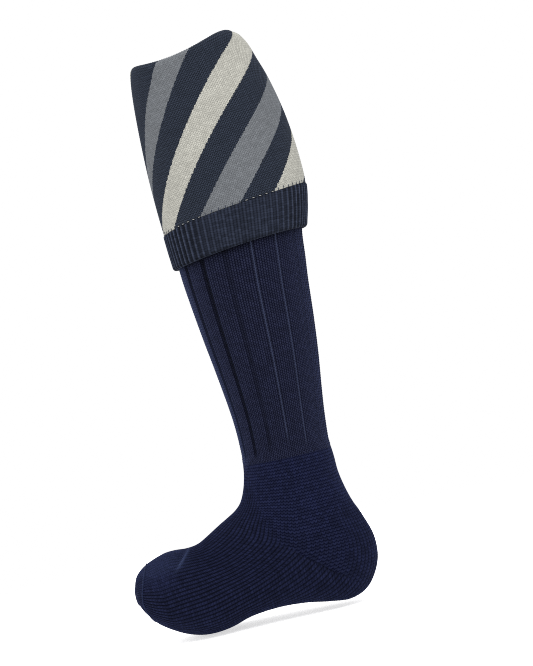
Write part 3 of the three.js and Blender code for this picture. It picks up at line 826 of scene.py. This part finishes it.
# Each step of the profile: distance out from the form, height round the leg, course and strength of the relief.
for k in range(course_rows + 1):
    share = k / course_rows
    profile.append((face, foot + (top - FOLD_HEIGHT - foot) * share, k / 2, 1.0))
for k in range(1, TURN_STEPS):
    turn = np.pi * k / TURN_STEPS
    profile.append((middle + bend * np.cos(turn), top - FOLD_HEIGHT + FOLD_HEIGHT * np.sin(turn),
                    CUFF_COURSES + k * 0.55, 0.6))
profile += [(-WALL, top - FOLD_HEIGHT, CUFF_COURSES + 7, 0.3), (-WALL, top - FOLD_LENGTH, CUFF_COURSES + 9, 0.0),
            (0.0, top - FOLD_LENGTH, CUFF_COURSES + 9, 0.0),
            (CUFF_CLEARANCE / 2, top - FOLD_HEIGHT - SEAM_GAP, CUFF_COURSES + 9, 0.0),
            (CUFF_CLEARANCE, top - FOLD_LENGTH, CUFF_COURSES + 9, 0.0)]
profile += [(CUFF_CLEARANCE, foot + (top - FOLD_LENGTH - foot) * share, 0.0, 0.0) for share in (0.75, 0.5, 0.25, 0.0)]
z = np.stack([p[1] for p in profile])
out, course, strength = (np.array([p[k] for p in profile])[:, None] for k in (0, 2, 3))
print(len(profile), "rows of cuff")

# %% Cuff mesh
ease = smooth(course / 1.5) * strength
ridge = -CUFF_RIDGE * np.cos(4 * np.pi * wale) + 0.06 * np.cos(2 * np.pi * wale)
beads = -0.07 * np.cos(2 * np.pi * course)
flat_skin = skin(place_of(z), phi_row, face)
from_fold = flat_skin[..., 0] - FOLD_AT
fold = np.exp(-(from_fold / 1.8) ** 2) - 0.6 * np.exp(-((from_fold + 5) / 3) ** 2)
fold = FOLD_RISE * fold * smooth((z + 22) / 20) * (flat_skin[..., 1] < 0)
cuff_grid = skin(place_of(z), phi_row, out + ease * (ridge + beads + fold))
cuff_grid[..., 2] += ease * (CHEVRON * (CUFF_LENGTH / CUFF_COURSES) * np.cos(2 * np.pi * wale))
stitch_phi = 2 * np.pi * (np.arange(columns) + 0.5) / columns
share = np.clip((course + 0.25) / CUFF_COURSES, 0, 1.3)
stitch_z = band_top(stitch_phi) + (top_edge(stitch_phi) - band_top(stitch_phi)) * share
yarn = yarn_of(stitch_phi, stitch_z)
wales = np.arange(columns + 1) / SAMPLES
cuff_mesh = knit_mesh("striped_cuff_knit", cuff_grid, wales, course, corner_values={"yarn": yarn})
place_piece(cuff_mesh, striped, ["turnover_cuff"])

# %% [markdown]
# ## The ribbed band
# A band of fine one-and-one rib finishes the cuff and holds it. Its ribs are narrow tubes, deep where the band is
# slack at the shin and the calf's back edge. Over the side they are drawn nearly flat, and the legs of the stitches
# show as fine upright lines. Each rib counts as one wale, so the lines are half a rib apart. The hem is rounded.

# %% Band mesh
BAND_RIBS = 66
BAND_WALL = 3.6
RIB_RISE = 0.75  # how far a slack rib stands up and down
RIB_SAMPLES = 8
BAND_COURSE = 1.9
columns = BAND_RIBS * RIB_SAMPLES
rib = np.arange(columns) / RIB_SAMPLES
phi_row = 2 * np.pi * rib / BAND_RIBS
top, hem = band_top(phi_row), band_hem(phi_row)
face = CUFF_CLEARANCE + BAND_WALL
# Each step of the profile: distance out from the form, share of the height and strength of the relief.
profile = [(CUFF_CLEARANCE, 1.0, 0.0), (CUFF_CLEARANCE, 0.5, 0.0), (CUFF_CLEARANCE, 0.08, 0.0),
           (CUFF_CLEARANCE + 0.5, 0.02, 0.3), (CUFF_CLEARANCE + 1.6, 0.0, 0.5), (face - 0.9, 0.012, 0.8),
           (face - 0.2, 0.045, 0.95)]
profile += [(face + 0.3 * np.sin(np.pi * share), share, 1.0) for share in np.linspace(0.075, 0.97, 48)]
profile += [(face - 0.35, 0.992, 0.8), (face - 1.4, 1.004, 0.2)]
out, share, strength = (np.array(column)[:, None] for column in zip(*profile))
z = hem + (top - hem) * share
slack = np.interp(from_shin(phi_row), (0, 35, 55, 75, 115, 145, 180), (1, 1, 0.7, 0.1, 0.1, 0.8, 1))
wave = np.cos(2 * np.pi * rib)
relief = strength * (RIB_RISE * slack * np.sign(wave) * np.abs(wave) ** 0.8 - 0.35 * slack)
band_grid = skin(place_of(z), phi_row, out + relief)
wales = np.arange(columns + 1) / RIB_SAMPLES
# Painted shade: in the troughs of slack ribs, over the stretched side and at the hem's edge.
edge = np.clip(1 - np.abs(z - hem - 0.5) / 2.0, 0, 1)
painted_shade = np.clip(np.clip(0.5 - 0.5 * wave, 0, 1) * slack + 0.48 * (1 - slack) + 0.5 * edge, 0, 1)
# A faint painted highlight on the crests of the flat ribs.
painted_crest_highlight = strength * np.clip(wave, 0, 1) ** 2 * (1 - slack)
band_mesh = knit_mesh("cuff_band_rib", band_grid, wales, wrap(z) / BAND_COURSE,
                      values={"groove": painted_shade * strength, "painted_crest_highlight": painted_crest_highlight})
place_piece(band_mesh, slate_ribbed, ["cuff_band"])

# %% [markdown]
# ## The linking stitches
# The band is joined to the cuff by a row of linking stitches, one at each rib. Under a slate stripe a cream loop
# shows, and a light stripe has short slate ticks poking up into it. Each is a small capsule of yarn, so all of them
# are one array: a ring profile times a place and a direction for each stitch.

# %% Linking stitches
TICK_HALF, LOOP_HALF = 1.7, 1.0  # half the length of a tick and of a loop
TICK_RISE, LOOP_RISE = 1.2, 0.7  # their height above the band's edge
YARN_RADIUS = 0.3
BEAD_SIDES, BEAD_RINGS = 8, 5


def beads_at(points, along, beside, outward, half_length):
    """Capsules as points x rings x sides: the radius times the cosine of a ring's turn, the length times its sine."""
    ring_turn = np.linspace(-0.49 * np.pi, 0.49 * np.pi, BEAD_RINGS)[None, :, None, None]
    side_turn = (2 * np.pi * np.arange(BEAD_SIDES) / BEAD_SIDES)[None, None, :, None]
    points, along, beside, outward = (v[:, None, None, :] for v in (points, along, beside, outward))
    return (points + along * half_length * np.sin(ring_turn)
            + YARN_RADIUS * np.cos(ring_turn) * (beside * np.cos(side_turn) + outward * np.sin(side_turn)))


def bead_mesh(name, capsules):
    """One mesh of many closed capsules."""
    count, rings, sides = capsules.shape[:3]
    ring, side = np.meshgrid(np.arange(rings - 1) * sides, np.arange(sides), indexing="ij")
    after = (side + 1) % sides
    quad = np.stack([ring + side, ring + after, ring + sides + after, ring + sides + side], -1)
    shift = (np.arange(count) * rings * sides)[:, None, None]
    quads = (quad.reshape(-1, 4) + shift).reshape(-1, 4).tolist()
    first = (np.arange(sides)[::-1][None] + shift[:, 0]).tolist()
    last = (np.arange(sides)[None] + (rings - 1) * sides + shift[:, 0]).tolist()
    print(name, "has", count, "stitches")
    return smooth_mesh(name, capsules.reshape(-1, 3), quads + first + last)


link_phi = 2 * np.pi * (np.arange(BAND_RIBS) + 0.5) / BAND_RIBS
link_z = band_top(link_phi)
link_yarn = yarn_of(link_phi, link_z + 2.5)
seat = CUFF_CLEARANCE + CUFF_WALL + 0.15


def link_frames(chosen, rise):
    """Seat, rising, level and outward directions of the chosen linking stitches."""
    angle, height = link_phi[chosen], link_z[chosen] + rise
    here = skin(place_of(height), angle, seat)
    level = unit(skin(place_of(height), angle + 0.01, seat) - here)
    rising = unit(skin(place_of(height + 1), angle, seat) - here)
    facing = np.cross(level, rising)
    facing *= np.sign((facing[:, :2] * here[:, :2]).sum(-1, keepdims=True))
    return here, rising, level, facing


here, rising, level, facing = link_frames(link_yarn == 0, LOOP_RISE)
loops = beads_at(here, level, rising, facing, LOOP_HALF)
here, rising, level, facing = link_frames(link_yarn > 0, TICK_RISE)
ticks = beads_at(here, rising, level, facing, TICK_HALF)
single_yarn = dict(row_depth=0.1, leg_depth=0.1, bump=0.2, shade=0.2, heather=0.1, sheen=0.1)
cream_yarn = wool("cream_worsted_linking_yarn", ["#8c8b86"], sheen_tint="#c0c0c0", **single_yarn)
slate_yarn = wool("slate_worsted_linking_yarn", ["#2b303d"], sheen_tint="#8a92a8", **single_yarn)
place_piece(bead_mesh("cream_linking_loops", loops), cream_yarn)
place_piece(bead_mesh("slate_linking_ticks", ticks), slate_yarn)

# %% [markdown]
# ## The toe seam
# The toe is closed by linking its last round together, which leaves a low rounded ridge just behind the tip: a thin
# tube laid along the skin.

# %% Toe seam
SEAM_RADIUS = 0.75
SEAM_PLACE = 34.6  # station of the seam at the sides of the foot
SEAM_LEAN, SEAM_BOW = 0.45, 0.85  # it lies further back over the toes than under them
SEAM_STEPS, SEAM_SIDES = 120, 10

turn = 2 * np.pi * np.arange(SEAM_STEPS) / SEAM_STEPS
path_t = SEAM_PLACE - SEAM_LEAN * np.cos(turn) - SEAM_BOW * np.cos(turn) ** 2
path = skin(path_t, turn)
outside = unit(skin(path_t, turn, 1.0) - path)
sideways = np.cross(unit(np.roll(path, -1, 0) - np.roll(path, 1, 0)), outside)
around = 2 * np.pi * np.arange(SEAM_SIDES)[None, :, None] / SEAM_SIDES
tube = (path + outside * 0.35)[:, None] + SEAM_RADIUS * (outside[:, None] * np.cos(around)
                                                      + sideways[:, None] * np.sin(around))
seam_wales, seam_courses = np.arange(SEAM_SIDES + 1) / SEAM_SIDES, np.arange(SEAM_STEPS)[:, None]
seam_yarn = wool("navy_worsted_linked_seam", ["#1c2239"], row_depth=0.6, leg_depth=0.1, bump=0.4, shade=0.5,
                 heather=0.2, sheen=0.2, sheen_tint="#8a96c0")
place_piece(knit_mesh("toe_seam", tube, seam_wales, seam_courses), seam_yarn)
